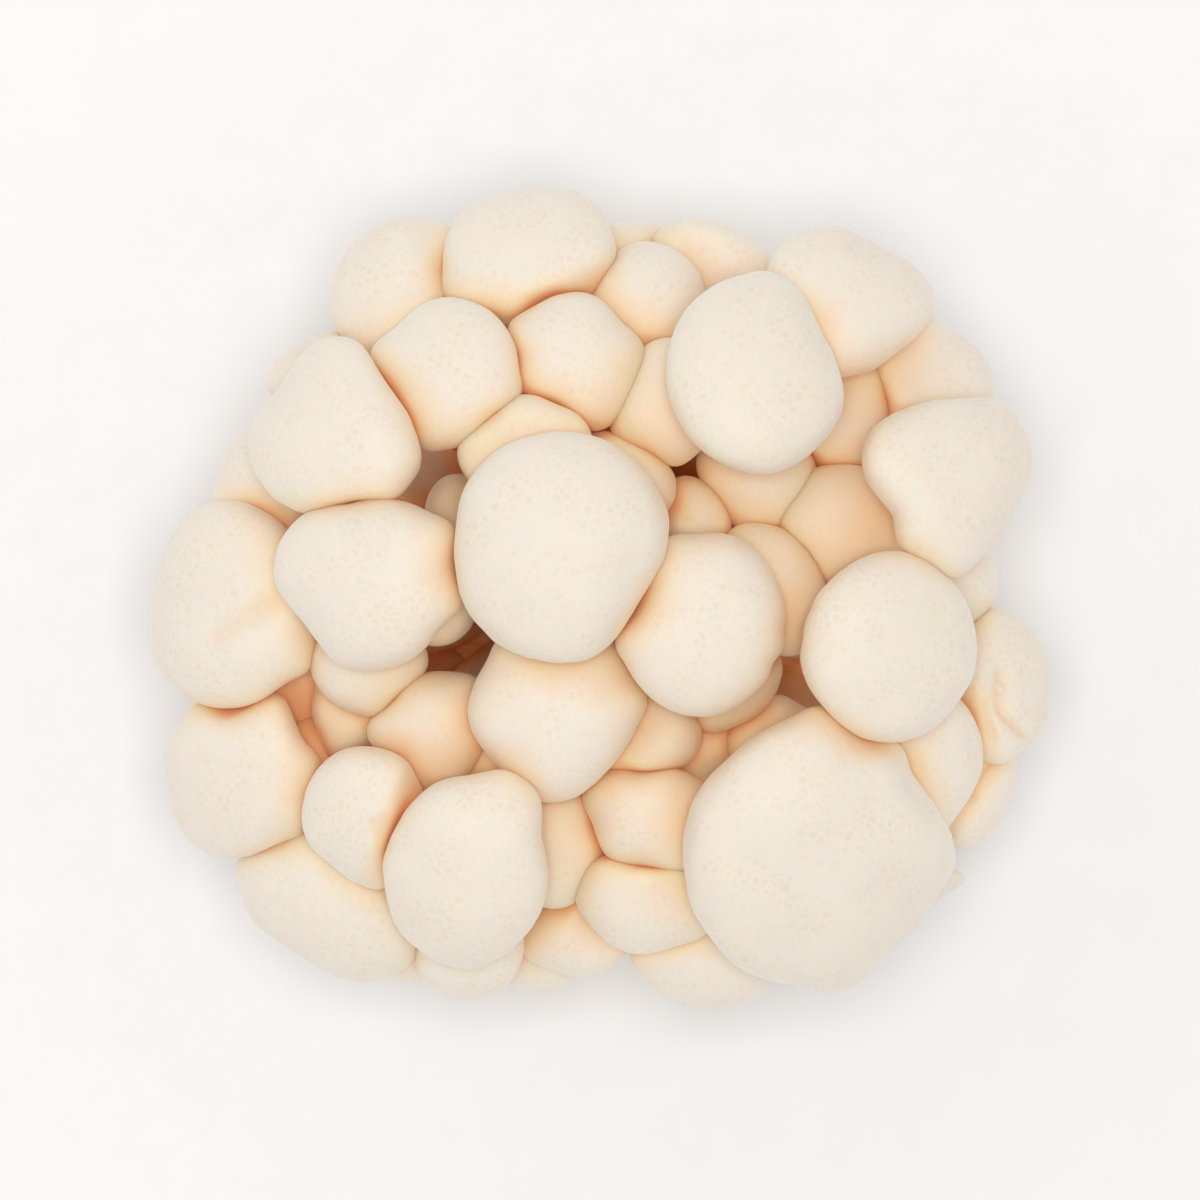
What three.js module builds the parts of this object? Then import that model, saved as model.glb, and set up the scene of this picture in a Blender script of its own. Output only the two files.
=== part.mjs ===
// A cluster of white beech mushrooms, as it is cut from its growing bottle: fifty-nine
// mushrooms of very different ages that rise from one grown-together foot and press their
// caps against each other. Millimetres, +Z up, the foot's cut face on z = 0.
import * as THREE from 'three';

// ---- Driving sizes ----
const CROWN_WIDTH = 100; // across the caps, left to right
const CROWN_LEVEL = 82; // height of the tallest mushroom's cap rim above the cut face
const FOOT_HEIGHT = 24; // from the cut face to where the stems part
const FOOT_RADIUS = 31; // of the foot where the stems part
const FOOT_CUT_RADIUS = 27; // of the cut face that the cluster stands on
const STEM_FILL = 0.7; // share of the foot's upper face that stems cover
const GAP = 0.3; // clearance between any two pieces

// ---- How a mushroom grows ----
const STEM_SHARE = 0.12; // how much more a stem thickens for each millimetre of its cap's radius
const STEM_FOOT_SWELL = 0.45; // how much thicker a stem is at the foot
const STEM_RISE = 1.6; // above 1, a stem leaves the foot outwards and ends upright
const FEET_SPREAD = 2; // 2 sets the outermost stems on the foot's edge; less draws them in
const STEM_LEVELS = [0, 6, 13, 23, 35, 48]; // heights of the stem sections above where the stems part
const STEM_NECK = 3; // the highest section stays this far below the cap
const DOME_BASE = 2.4; // dome height of the smallest button
const DOME_SHARE = 0.5; // of the cap's radius, added to DOME_BASE
const DOME_POWER = 2.3; // 2 is an ellipse; more gives a flatter top and rounder shoulders
const LIP_DROP = 0.3; // how far the margin curls down below the rim, as a share of the radius
const LIP_TUCK = 0.86; // the margin's radius, as a share of the rim's
const GILL_RISE = 0.16; // depth of the stem's joint below the rim, as a share of the radius
const LEAN = 0.62; // slope of a cap's rim at the edge of the crown
const LEAN_REACH = 46; // distance from the crown's middle where the slope reaches LEAN
const LEAN_POWER = 1.5; // higher keeps more of the crown's middle level
const PRESS_SOFTNESS = 14; // higher gives sharper corners where a cap is pressed flat
const YIELD_HEIGHT = 4; // a cap this much lower than its neighbour gives way to it alone
const CAP_CORE = 0.25; // share of its reach that a cap keeps however hard it is pressed
const PART_SWINGS = [-50, -25, 0, 25, 50]; // bearings tried for a parting plane
const CAP_DIPS = [0, 18, 36, 54, 72, 90]; // its dips below level, between two caps
const STEM_DIPS = [-54, -36, -18, 0, 18, 36]; // and between a cap and a stem
const FOOT_MARGIN = 0.8; // flesh outside the outermost stems
const FOOT_LEAST = 0.86; // the foot's least reach, as a share of FOOT_RADIUS
// The foot's side, as [share of its height, share of the way from the cut face's edge to its own]:
const FOOT_PROFILE = [[1, 0.96], [0.93, 1.04], [0.62, 0.95], [0.3, 0.6], [0.08, 0.2], [0, 0]];
const DRAWN_WIDTH = 100; // the crown width that the lists below are drawn for

// ---- Fineness ----
const DOME_RINGS = 4; // from the top of a cap to its rim
const CROWN_COLUMNS = 14; // sides of a mushroom in each list
const RIM_COLUMNS = 12;
const INNER_COLUMNS = 10;
const FOOT_COLUMNS = 48;

// ---- Materials ----
function whiteFlesh() {
  return new THREE.MeshStandardMaterial({ color: 0xf2e5d2, roughness: 0.55, metalness: 0 });
}

function footFlesh() {
  return new THREE.MeshStandardMaterial({ color: 0xeadbc2, roughness: 0.8, metalness: 0 });
}

// ---- The mushrooms ----
// Each row is one mushroom seen from above:
//   [x, y, drop, half width, half depth, turn, [[direction, distance], ...]]
// x and y place the cap, drop is how far its rim lies below CROWN_LEVEL, and turn rotates the
// oval cap anticlockwise. Each pair at the end is a side that grew flat: the direction that it
// faces and its distance from the cap's middle. Angles are degrees from +X.
const CROWN = [
  [-4.5, 5.5, 0, 12.4, 12.9, 0, [[-29, 10.6], [180, 12]]],
  [17.5, 25, 2, 10.2, 11.1, 0, [[24, 8.2]]],
  [11.5, -3, 4, 8.9, 10.2, -12, [[155, 7.7]]],
  [32, -5.5, 6, 9.8, 10.6, 0, []],
  [-26.5, 2, 6, 10.2, 10.2, 0, [[98, 9.3], [217, 8.2], [0, 9.9]]],
  [24.5, -29, 12, 15.3, 15.6, 0, [[-37, 13.1], [30, 14.4], [262, 15.1]]],
  [-15.1, -30.6, 10, 9.2, 10.6, 0, []],
  [-5.5, -13.4, 9, 9.3, 9.6, 0, [[224, 8.2], [319, 8.6]]],
  [-29.5, 19, 10, 10.4, 10.4, 0, [[32, 7.8], [143, 7.8], [262, 10.2]]],
  [38.6, 13.6, 10, 10.1, 10.1, 0, [[102, 8.4], [-29, 8.6], [218, 7.6]]],
  [-16.5, 25.5, 11, 7.6, 8.2, 0, []],
  [-3, 27, 12, 6.4, 7.3, 12, []],
  [-8.5, 17, 8, 7.8, 6.4, 0, [[65, 5.7], [127, 5.2]]],
  [28.1, 33.1, 16, 10.2, 8, -29, [[60, 7.1], [-52, 7.5]]],
  [-26.2, -24.6, 14, 7.3, 8.1, 0, [[232, 6.6]]],
  [-19.5, -14, 16, 6.4, 6, 0, [[140, 5.3], [224, 4.7]]],
  [5, -24.4, 16, 6.4, 6.4, 0, [[0, 5.8], [180, 5.9], [97, 5.7], [263, 5.8]]],
];
const RIM = [
  [-7.9, 38.2, 20, 9.9, 8.5, 0, [[97, 7.8]]],
  [-22.3, 34.3, 24, 8.6, 7.7, 52, []],
  [4.5, 37.5, 28, 5, 4.6, 0, []],
  [12.5, 37, 26, 7.8, 5.1, -20, []],
  [36.4, 23.5, 25, 7.9, 6.8, 0, []],
  [37.6, 2.1, 24, 7, 7, 0, []],
  [44.8, -10.2, 28, 5.9, 8.3, 0, []],
  [36.5, -17.5, 21, 6.4, 7.6, 0, []],
  [42.2, -22.6, 34, 3.9, 6.2, -29, []],
  [36, -32, 38, 4.4, 3.1, 8, []],
  [12.5, -40.6, 29, 7.6, 5.8, 0, []],
  [-6.3, -40.5, 34, 4.1, 4.1, 0, []],
  [-15, -39.2, 25, 6.4, 6, 0, []],
  [-22, -36.6, 32, 4.7, 6.7, 0, []],
  [-30.7, -34.7, 27, 10.7, 7.3, -30, [[240, 6.5]]],
  [-40.9, -20, 25, 8.4, 9.5, 0, [[92, 9.2], [190, 8.2]]],
  [-41.8, -1, 22, 9.7, 11.9, 0, [[165, 8.6]]],
  [-36.8, 13, 26, 6.3, 6.4, 0, []],
  [-30.3, 23.6, 24, 7.4, 5.4, 0, []],
];
const INNER = [
  [4.9, 33.5, 20, 6.9, 6.3, 0, []],
  [7.5, 22, 12, 6.1, 7, 0, []],
  [3, 13.5, 11, 6, 4.4, -35, []],
  [10.5, 8.5, 14, 4.1, 4.4, 0, []],
  [18.5, 13.5, 16, 6.2, 5.3, 0, []],
  [27, 20.2, 20, 5.6, 6.4, 0, []],
  [27.9, 8.5, 17, 7.3, 6.7, 0, []],
  [19.5, 1, 14, 5.6, 7.7, 12, []],
  [14.5, -9, 16, 5.3, 5.3, 0, []],
  [20.5, -17, 20, 6.2, 5, 0, []],
  [11.5, -16, 21, 4.4, 4.2, 0, []],
  [5, -15, 15, 6.4, 5.3, 0, []],
  [2, -8.5, 18, 4, 3.8, 0, []],
  [-10.5, -17.3, 18, 6.4, 6, 0, []],
  [-5.5, -28, 20, 5.6, 7, 8, []],
  [4.8, -33.6, 20, 6.7, 6.3, 0, []],
  [-2, -36.8, 26, 5.8, 5.7, 0, []],
  [-18.6, -0.2, 14, 5, 5.3, 0, []],
  [-16, 9.5, 18, 3.6, 4.4, 0, []],
  [-26.5, -7, 16, 5.9, 5.7, 0, []],
  [-28, -12.5, 22, 4.4, 4.6, 0, []],
  [-32.2, -20.8, 28, 5.4, 6.4, 0, []],
  [-33.8, -8.8, 28, 4.7, 4, 0, []],
];

// ---- Shape helpers ----
const radians = THREE.MathUtils.degToRad;

// The directions of a ring's points.
function columnAngles(count) {
  return Array.from({ length: count }, (_, j) => (j / count) * 2 * Math.PI);
}

// The smallest of some lengths, rounded off where two are nearly equal, and never above either.
function softMinimum(lengths) {
  const sum = lengths.reduce((total, length) => total + length ** -PRESS_SOFTNESS, 0);
  return sum ** (-1 / PRESS_SOFTNESS);
}

// How far a ray may run before it meets a flat side at the given distance.
function reachTo(distance, cosine) {
  return cosine > 1e-3 ? [distance / cosine] : [];
}

function makeMushroom(group, index, columns, row) {
  const [x, y, drop, halfWidth, halfDepth, turn, flats] = row;
  const spread = CROWN_WIDTH / DRAWN_WIDTH;
  const radius = (spread * (halfWidth + halfDepth)) / 2;
  return {
    name: `${group}_mushroom_${String(index + 1).padStart(2, '0')}`,
    columns,
    radius,
    spread,
    flats,
    halfWidth: halfWidth * spread,
    halfDepth: halfDepth * spread,
    turn: radians(turn),
    centre: new THREE.Vector3(x * spread, y * spread, CROWN_LEVEL - drop),
    dome: DOME_BASE + DOME_SHARE * radius,
    stemRadius: 1 + STEM_SHARE * radius,
  };
}

// The cap's plan radius in a world direction: an oval with its flat sides taken off.
function outlineRadius(mushroom, angle) {
  const across = Math.cos(angle - mushroom.turn) / mushroom.halfWidth;
  const along = Math.sin(angle - mushroom.turn) / mushroom.halfDepth;
  const lengths = [1 / Math.hypot(across, along)];
  for (const [direction, distance] of mushroom.flats) {
    lengths.push(...reachTo(distance * mushroom.spread, Math.cos(angle - radians(direction))));
  }
  return softMinimum(lengths);
}

// How far the rim plane drops at a point of the cap, because caps lean out of the crown.
function leanDrop(mushroom, dx, dy) {
  const { x, y } = mushroom.centre;
  const out = Math.hypot(x, y) / (LEAN_REACH * mushroom.spread);
  const slope = LEAN * out ** LEAN_POWER;
  const distance = Math.max(Math.hypot(x, y), 1e-6);
  return (slope * (dx * x + dy * y)) / distance;
}

// [share of the plan radius, height] of each cap ring, from the dome down to the margin.
function capProfile(mushroom) {
  const rings = [];
  for (let k = 1; k <= DOME_RINGS; k += 1) {
    const angle = (k / DOME_RINGS) * (Math.PI / 2);
    const share = Math.sin(angle) ** (2 / DOME_POWER);
    const height = Math.max(Math.cos(angle), 0) ** (2 / DOME_POWER);
    rings.push([share, height * mushroom.dome]);
  }
  rings.push([LIP_TUCK, -LIP_DROP * mushroom.radius]);
  return rings;
}

// The cap before its neighbours press it: its apex and its rings, down to the stem's joint.
function freeCap(mushroom) {
  const { centre } = mushroom;
  const point = (angle, reach, height) => {
    const dx = Math.cos(angle) * reach;
    const dy = Math.sin(angle) * reach;
    const dz = height - leanDrop(mushroom, dx, dy);
    return new THREE.Vector3(centre.x + dx, centre.y + dy, centre.z + dz);
  };
  const angles = columnAngles(mushroom.columns);
  const rings = capProfile(mushroom).map(([share, height]) =>
    angles.map((angle) => point(angle, share * outlineRadius(mushroom, angle), height)));
  rings.push(angles.map((angle) => point(angle, mushroom.stemRadius, -GILL_RISE * mushroom.radius)));
  return { apex: point(0, 0, mushroom.dome), rings };
}

// ---- Stems ----
const STEM_START = FOOT_HEIGHT + GAP;

// Stems are as thick as the foot has room for. Their feet start under the caps, drawn in to the
// foot, and are pushed apart until they fit.
function packFeet(mushrooms) {
  const swell = 1 + STEM_FOOT_SWELL;
  const room = FOOT_RADIUS - FOOT_MARGIN;
  const covered = mushrooms.reduce((sum, m) => sum + (m.stemRadius * swell) ** 2, 0);
  const thickness = room * Math.sqrt(STEM_FILL / covered);
  for (const m of mushrooms) {
    m.stemRadius *= thickness;
    m.foot = new THREE.Vector2(m.centre.x, m.centre.y).multiplyScalar(FEET_SPREAD * (room / CROWN_WIDTH));
  }
  for (let pass = 0; pass < 200; pass += 1) {
    mushrooms.forEach((a, i) => mushrooms.slice(i + 1).forEach((b) => {
      const apart = b.foot.clone().sub(a.foot);
      const short = (a.stemRadius + b.stemRadius) * swell + GAP - apart.length();
      if (short <= 0) return;
      apart.setLength(short / 2);
      a.foot.sub(apart);
      b.foot.add(apart);
    }));
    for (const m of mushrooms) m.foot.clampLength(0, room - m.stemRadius * swell);
  }
}

// The stem's middle and radius at a height.
function stemAt(mushroom, z) {
  const share = THREE.MathUtils.clamp((z - STEM_START) / (mushroom.centre.z - STEM_START), 0, 1);
  const rise = 1 - (1 - share) ** STEM_RISE;
  return {
    x: THREE.MathUtils.lerp(mushroom.foot.x, mushroom.centre.x, rise),
    y: THREE.MathUtils.lerp(mushroom.foot.y, mushroom.centre.y, rise),
    radius: mushroom.stemRadius * (1 + STEM_FOOT_SWELL * (1 - share) ** 2),
  };
}

// One ring of a stem, flattened where it meets the other stems at that height.
function stemSection(mushroom, z, mushrooms) {
  const own = stemAt(mushroom, z);
  const walls = [];
  for (const other of mushrooms) {
    if (other === mushroom || other.centre.z < z) continue;
    const its = stemAt(other, z);
    const distance = Math.hypot(its.x - own.x, its.y - own.y);
    if (distance > 1.5 * (own.radius + its.radius + GAP)) continue;
    const share = own.radius / (own.radius + its.radius);
    walls.push([Math.atan2(its.y - own.y, its.x - own.x), share * (distance - GAP)]);
  }
  return columnAngles(mushroom.columns).map((angle) => {
    const lengths = [own.radius];
    for (const [direction, reach] of walls) lengths.push(...reachTo(reach, Math.cos(angle - direction)));
    const radius = softMinimum(lengths);
    return new THREE.Vector3(own.x + Math.cos(angle) * radius, own.y + Math.sin(angle) * radius, z);
  });
}

// Stem rings from just under the cap down to the foot, at heights that all stems share.
function stemRings(mushroom, mushrooms) {
  const top = mushroom.centre.z - (LIP_DROP + GILL_RISE) * mushroom.radius;
  const levels = STEM_LEVELS.map((level) => STEM_START + level);
  const heights = levels.filter((z) => z < top - STEM_NECK).reverse();
  return heights.map((z) => stemSection(mushroom, z, mushrooms));
}

// ---- Pressing the caps together ----
// Each wall is a plane that a cap may not cross: a direction from its middle, and a distance.
function support(points, centre, direction) {
  return Math.max(...points.map((p) => p.clone().sub(centre).dot(direction)));
}

// The direction from a cap in which it overlaps some other points the least.
function partingDirection(cap, points, bearing, dips) {
  let best = { overlap: Infinity };
  for (const swing of PART_SWINGS) {
    for (const dip of dips) {
      const azimuth = bearing + radians(swing);
      const level = Math.cos(radians(dip));
      const direction = new THREE.Vector3(
        Math.cos(azimuth) * level, Math.sin(azimuth) * level, -Math.sin(radians(dip)));
      const reach = support(cap.capPoints, cap.centre, direction);
      const room = -support(points, cap.centre, direction.clone().negate()) - GAP;
      if (reach - room < best.overlap) best = { direction, reach, room, overlap: reach - room };
    }
  }
  return best;
}

// Two caps that would overlap are parted by a plane. The lower one gives way, and the higher
// one does too if they are nearly level.
function pressCaps(a, b) {
  const [high, low] = a.centre.z >= b.centre.z ? [a, b] : [b, a];
  const apart = low.centre.clone().sub(high.centre);
  if (Math.hypot(apart.x, apart.y) > 2 * (high.radius + low.radius)) return;
  const bearing = Math.atan2(apart.y, apart.x);
  const { direction, reach, overlap } = partingDirection(high, low.capPoints, bearing, CAP_DIPS);
  if (overlap <= 0) return;
  const share = THREE.MathUtils.clamp(0.5 - apart.z / (2 * YIELD_HEIGHT), 0.5, 1);
  const away = direction.clone().negate();
  const reachLow = support(low.capPoints, low.centre, away);
  const yieldLow = Math.min(overlap * share, reachLow * (1 - CAP_CORE));
  high.walls.push([direction, reach - (overlap - yieldLow)]);
  low.walls.push([away, reachLow - yieldLow]);
}

// The part of a stem between two heights, as points along its columns.
function stemBetween(stemmed, low, high) {
  const points = [];
  const rings = [stemmed.cap.rings.at(-1), ...stemmed.stem];
  for (let k = 0; k + 1 < rings.length; k += 1) {
    rings[k].forEach((top, j) => {
      const foot = rings[k + 1][j];
      if (top.z < low || foot.z > high) return;
      const at = (z) => foot.clone().lerp(top, (z - foot.z) / (top.z - foot.z));
      points.push(at(Math.min(high, top.z)), at(Math.max(low, foot.z)));
    });
  }
  return points;
}

// A cap also keeps clear of every stem that rises past it.
function pressOnStem(cap, stemmed) {
  const heights = cap.capPoints.map((p) => p.z);
  const near = stemBetween(stemmed, Math.min(...heights), Math.max(...heights));
  const its = stemAt(stemmed, cap.centre.z);
  const apart = new THREE.Vector2(its.x - cap.centre.x, its.y - cap.centre.y);
  if (!near.length || apart.length() > 3 * (cap.radius + its.radius)) return;
  const { direction, room, overlap } = partingDirection(cap, near, apart.angle(), STEM_DIPS);
  if (overlap > 0) cap.walls.push([direction, room]);
}

// A point of the cap, drawn towards the cap's middle until it is inside every wall.
function pressedPoint(mushroom, point) {
  const ray = point.clone().sub(mushroom.centre);
  const lengths = [1];
  for (const [direction, reach] of mushroom.walls) lengths.push(...reachTo(reach, ray.dot(direction)));
  return ray.multiplyScalar(softMinimum(lengths)).add(mushroom.centre);
}

// ---- Solids ----
// A closed surface over rings of equal length, with a point at each end.
function loft(top, rings, bottom) {
  const count = rings[0].length;
  const points = [top, ...rings.flat(), bottom];
  const index = [];
  const at = (k, j) => 1 + k * count + (j % count);
  for (let j = 0; j < count; j += 1) {
    index.push(0, at(0, j), at(0, j + 1));
    for (let k = 0; k + 1 < rings.length; k += 1) {
      index.push(at(k, j), at(k + 1, j), at(k + 1, j + 1), at(k, j), at(k + 1, j + 1), at(k, j + 1));
    }
    index.push(points.length - 1, at(rings.length - 1, j + 1), at(rings.length - 1, j));
  }
  const geometry = new THREE.BufferGeometry().setFromPoints(points);
  geometry.setIndex(index);
  geometry.computeVertexNormals();
  return geometry;
}

function middleOf(ring) {
  return ring.reduce((sum, p) => sum.add(p), new THREE.Vector3()).divideScalar(ring.length);
}

function mushroomMesh(mushroom) {
  const { apex, rings } = mushroom.cap;
  const pressed = rings.map((ring) => ring.map((p) => pressedPoint(mushroom, p)));
  const all = [...pressed, ...mushroom.stem];
  const geometry = loft(pressedPoint(mushroom, apex), all, middleOf(all.at(-1)));
  const mesh = new THREE.Mesh(geometry, whiteFlesh());
  mesh.name = mushroom.name;
  return mesh;
}

// How far the foot's upper edge reaches in a direction: round the outermost stems, or to its
// least reach where none stands there.
function footEdge(mushrooms, angle) {
  const lengths = mushrooms.map((m) => {
    const along = m.foot.x * Math.cos(angle) + m.foot.y * Math.sin(angle);
    const across = m.foot.y * Math.cos(angle) - m.foot.x * Math.sin(angle);
    const radius = m.stemRadius * (1 + STEM_FOOT_SWELL) + FOOT_MARGIN;
    return Math.abs(across) < radius ? along + Math.sqrt(radius ** 2 - across ** 2) : 0;
  });
  return Math.max(FOOT_RADIUS * FOOT_LEAST, ...lengths);
}

// The foot: stems grown together into one ribbed block that narrows to its flat cut face.
function footMesh(mushrooms) {
  const rings = FOOT_PROFILE.map(([share, widening]) => columnAngles(FOOT_COLUMNS).map((angle) => {
    const reach = THREE.MathUtils.lerp(FOOT_CUT_RADIUS, footEdge(mushrooms, angle), widening);
    return new THREE.Vector3(Math.cos(angle) * reach, Math.sin(angle) * reach, share * FOOT_HEIGHT);
  }));
  const top = new THREE.Vector3(0, 0, FOOT_HEIGHT);
  const mesh = new THREE.Mesh(loft(top, rings, new THREE.Vector3()), footFlesh());
  mesh.name = 'foot';
  return mesh;
}

// ---- Assembly ----
const mushrooms = [
  ...CROWN.map((row, i) => makeMushroom('crown', i, CROWN_COLUMNS, row)),
  ...RIM.map((row, i) => makeMushroom('rim', i, RIM_COLUMNS, row)),
  ...INNER.map((row, i) => makeMushroom('inner', i, INNER_COLUMNS, row)),
];
packFeet(mushrooms);
for (const m of mushrooms) {
  m.cap = freeCap(m);
  m.capPoints = [m.cap.apex, ...m.cap.rings.flat()];
  m.stem = stemRings(m, mushrooms);
  m.walls = [];
}
mushrooms.forEach((a, i) => mushrooms.slice(i + 1).forEach((b) => pressCaps(a, b)));
for (const cap of mushrooms) {
  for (const other of mushrooms) if (other !== cap) pressOnStem(cap, other);
}

// The pieces, moved so that the middle of the whole stands over the origin.
const meshes = [footMesh(mushrooms), ...mushrooms.map(mushroomMesh)];
const extent = new THREE.Box3();
for (const mesh of meshes) extent.expandByObject(mesh, true);
const middle = extent.getCenter(new THREE.Vector3());
for (const mesh of meshes) mesh.geometry.translate(-middle.x, -middle.y, 0);

const cluster = new THREE.Group();
cluster.add(...meshes);

export default cluster;
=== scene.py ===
import math

import bmesh
import bpy
import numpy as np
from mathutils.bvhtree import BVHTree
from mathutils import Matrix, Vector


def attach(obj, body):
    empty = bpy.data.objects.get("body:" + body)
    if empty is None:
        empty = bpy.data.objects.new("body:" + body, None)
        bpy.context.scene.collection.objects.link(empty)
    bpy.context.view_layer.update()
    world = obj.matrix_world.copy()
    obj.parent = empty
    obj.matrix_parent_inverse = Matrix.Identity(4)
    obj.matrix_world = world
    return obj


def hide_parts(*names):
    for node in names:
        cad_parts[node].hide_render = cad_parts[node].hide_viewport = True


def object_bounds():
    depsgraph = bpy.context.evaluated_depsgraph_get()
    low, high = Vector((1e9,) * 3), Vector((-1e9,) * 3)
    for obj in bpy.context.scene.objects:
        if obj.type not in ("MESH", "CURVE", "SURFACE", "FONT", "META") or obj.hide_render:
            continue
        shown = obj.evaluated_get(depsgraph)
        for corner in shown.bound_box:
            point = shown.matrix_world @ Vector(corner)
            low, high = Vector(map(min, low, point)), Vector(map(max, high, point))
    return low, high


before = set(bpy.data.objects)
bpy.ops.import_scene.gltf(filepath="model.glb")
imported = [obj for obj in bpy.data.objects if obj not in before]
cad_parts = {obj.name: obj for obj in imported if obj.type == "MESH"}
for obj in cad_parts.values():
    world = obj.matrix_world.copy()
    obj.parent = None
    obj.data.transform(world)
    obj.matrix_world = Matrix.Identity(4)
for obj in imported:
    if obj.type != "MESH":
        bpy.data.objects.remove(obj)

CAD_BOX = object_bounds()
MM = 0.001
UP = np.array([0.0, 0.0, 1.0])

# ---- Shape of a mushroom ----
RIM, LIP, STEM_TOP = 3, 4, 5  # which of a CAD solid's rings these are, counted from the top
CAP_RINGS_PER_MM = 1.9  # rings on a cap's skin for each millimetre of its radius
CAP_RINGS = (16, 30)  # and their least and most
GILL_PITCH = 1.0 * MM  # distance between gills at the margin
GILLS = (30, 80)  # least and most gills on one cap
GILL_DEPTH = 0.13  # as a share of the cap's radius
GILL_SAG = 0.035  # the same, for how far the underside sags between margin and stem
GILL_RINGS = 9
BEAD = (0.22 * MM, 0.03)  # radius of the inrolled margin: a base, and a share of the cap's radius
BEAD_TURNS = (45, 90, 135, 180)  # its rings, as degrees of roll
STEM_RING_STEP = 1.9 * MM
STEM_SINK = 2.2 * MM  # how far a stem reaches into the foot

# ---- Unevenness ----
CAP_LUMPS = ((0.020, 9.0 * MM, 11), (0.006, 3.2 * MM, 23))  # (share of radius, size, seed)
LUMP_EASE = 4  # rings over which the lumps fade out at the apex
STEM_FIBRES = (0.07 * MM, 1.1 * MM, 5, 0.12)  # (height, size, seed, squash along the stem)
STEM_BENDS = (0.12 * MM, 6 * MM, 7, 0.6)

# Creases pressed into a cap: (from, to) as offsets from the cap's middle, depth, width, all mm.
CREASES = {
    "rim_mushroom_17": [((-1.1, -3.4), (5.5, 1.0), 0.7, 1.5)],
    "rim_mushroom_07": [
        ((-0.1, 1.5), (-0.3, -2.4), 0.75, 0.85),
        ((0.2, -3.2), (2.4, -5.4), 0.9, 0.65),
        ((-1.9, -1.8), (-0.8, -5.6), 0.5, 0.6),
    ],
    "rim_mushroom_09": [((-3.2, -4.3), (2.3, 4.0), 1.0, 0.9)],
    "rim_mushroom_19": [((-3.4, 3.2), (1.6, 2.2), 0.6, 0.6)],
}
# Places where a margin is drawn out, or in if less than 0: (direction in degrees, distance in mm,
# width in degrees).
PULLS = {
    "rim_mushroom_10": [(2, 0.5, 14), (-42, -0.4, 20), (45, -0.6, 20)],
    "rim_mushroom_11": [(232, -0.4, 9), (216, 0.2, 9)],
    "rim_mushroom_07": [(292, -0.3, 10)],
    "inner_mushroom_11": [
        (190, 0.4, 14), (222, -0.4, 12), (250, 0.4, 14), (282, -0.4, 12), (315, 0.4, 14),
    ],
    "crown_mushroom_03": [(-2, -0.25, 6), (-16, 0.2, 6), (-30, -0.25, 6)],
}

# ---- Contact ----
CLOSE_REACH = 2.2 * MM  # a margin is drawn out under a higher cap closer than this
CLOSE_HEIGHTS = tuple(h * MM for h in (-0.5, 0.6, 1.6, 2.6, 3.8, 5.2, 7))  # looked for at these
CLOSE_ROUNDS = 3
CLOSE_SHARE = 0.6  # of the gap that is closed in one round
CLOSE_SPREAD = 3  # columns that a gap's largest values are carried along the margin
CLOSE_BLUR = 12  # passes that then smooth it
STEM_CONTACT = (6.0 * MM, 3.6 * MM)  # a stem swells towards what is nearer than this; fully, than that
CONTACT_GAP = 0.03 * MM
CONTACT_SHARE = 0.62  # of the way each side swells in one round
CONTACT_ROUNDS = 2
CONTACT_BLUR = 4
BOX_EASE = 0.3 * MM  # points this close to the side of the CAD box are eased inside it

# ---- Shape of the foot ----
FOOT_COLUMNS = 340
FOOT_SIDE_RINGS = (4, 10, 12, 8, 4)  # between one ring of its CAD solid and the next
FOOT_TOP_RINGS = 46
FOOT_BASE_RINGS = 10
FOOT_INSET = 0.4 * MM  # how far its side lies inside its CAD solid, which leaves room for ribs
FOOT_EDGE = 2.4 * MM  # radius of its rounded upper edge
EDGE_FADE = 0.12  # share of its radius over which the top's relief fades towards that edge
HOLLOW = 1.2 * MM  # how far the flesh between the stems lies below the upper edge
COLLAR = 3.2 * MM  # how far it climbs up a stem
COLLAR_WIDTH = 1.0 * MM
RIB = 1.5 * MM  # how far a stem stands out of the foot's side
RIB_WIDTH = 2.3 * MM
RIB_REACH = 7 * MM  # from the side, a stem nearer than this makes a rib
RIB_MEAN = 0.45  # the side goes in between ribs by this share of one
SIDE_GRAIN = ((0.16 * MM, 1.4 * MM, 41, 0.2), (0.35 * MM, 6 * MM, 43, 0.6))
TOP_GRAIN = ((0.35 * MM, 4 * MM, 31, 1), (0.12 * MM, 1.3 * MM, 37, 1))
GRAIN_FADE = 2 * MM  # height over which the grain fades in above the cut base

# ---- Painted shade: how closed off each point is ----
PAINTED_SHADE_RAYS = 20
PAINTED_SHADE_REACH = 16 * MM
PAINTED_SHADE_START = 0.12 * MM  # rays start this far off the surface
PAINTED_SHADE_BLUR = 8
FOLD_PAINTED_SHADE = 0.28  # painted shade added in a crease, for each millimetre of its depth

# ---- Colours ----
CREAM = (0.905, 0.840, 0.755, 1)
MARBLE = (0.850, 0.735, 0.580, 1)
GILL = ((0.90, 0.78, 0.62, 1), (0.84, 0.68, 0.48, 1))  # light and dark
STEM = ((0.92, 0.84, 0.72, 1), (0.83, 0.69, 0.51, 1))
FOOT = ((0.90, 0.82, 0.70, 1), (0.82, 0.69, 0.51, 1))
CUT = (0.62, 0.44, 0.26, 1)  # low on the foot, where it was cut
PAPER = ((0.965, 0.975, 0.99, 1), (0.94, 0.95, 0.965, 1))
PAINTED_SHADE_WARM = (0.930, 0.680, 0.385, 1)  # painted shade: the light's colour after a few passes through flesh, put into half-hidden flesh
PAINTED_SHADE_DEEP = (0.930, 0.380, 0.110, 1)  # painted shade: and after many, put into the deepest crevices
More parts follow.
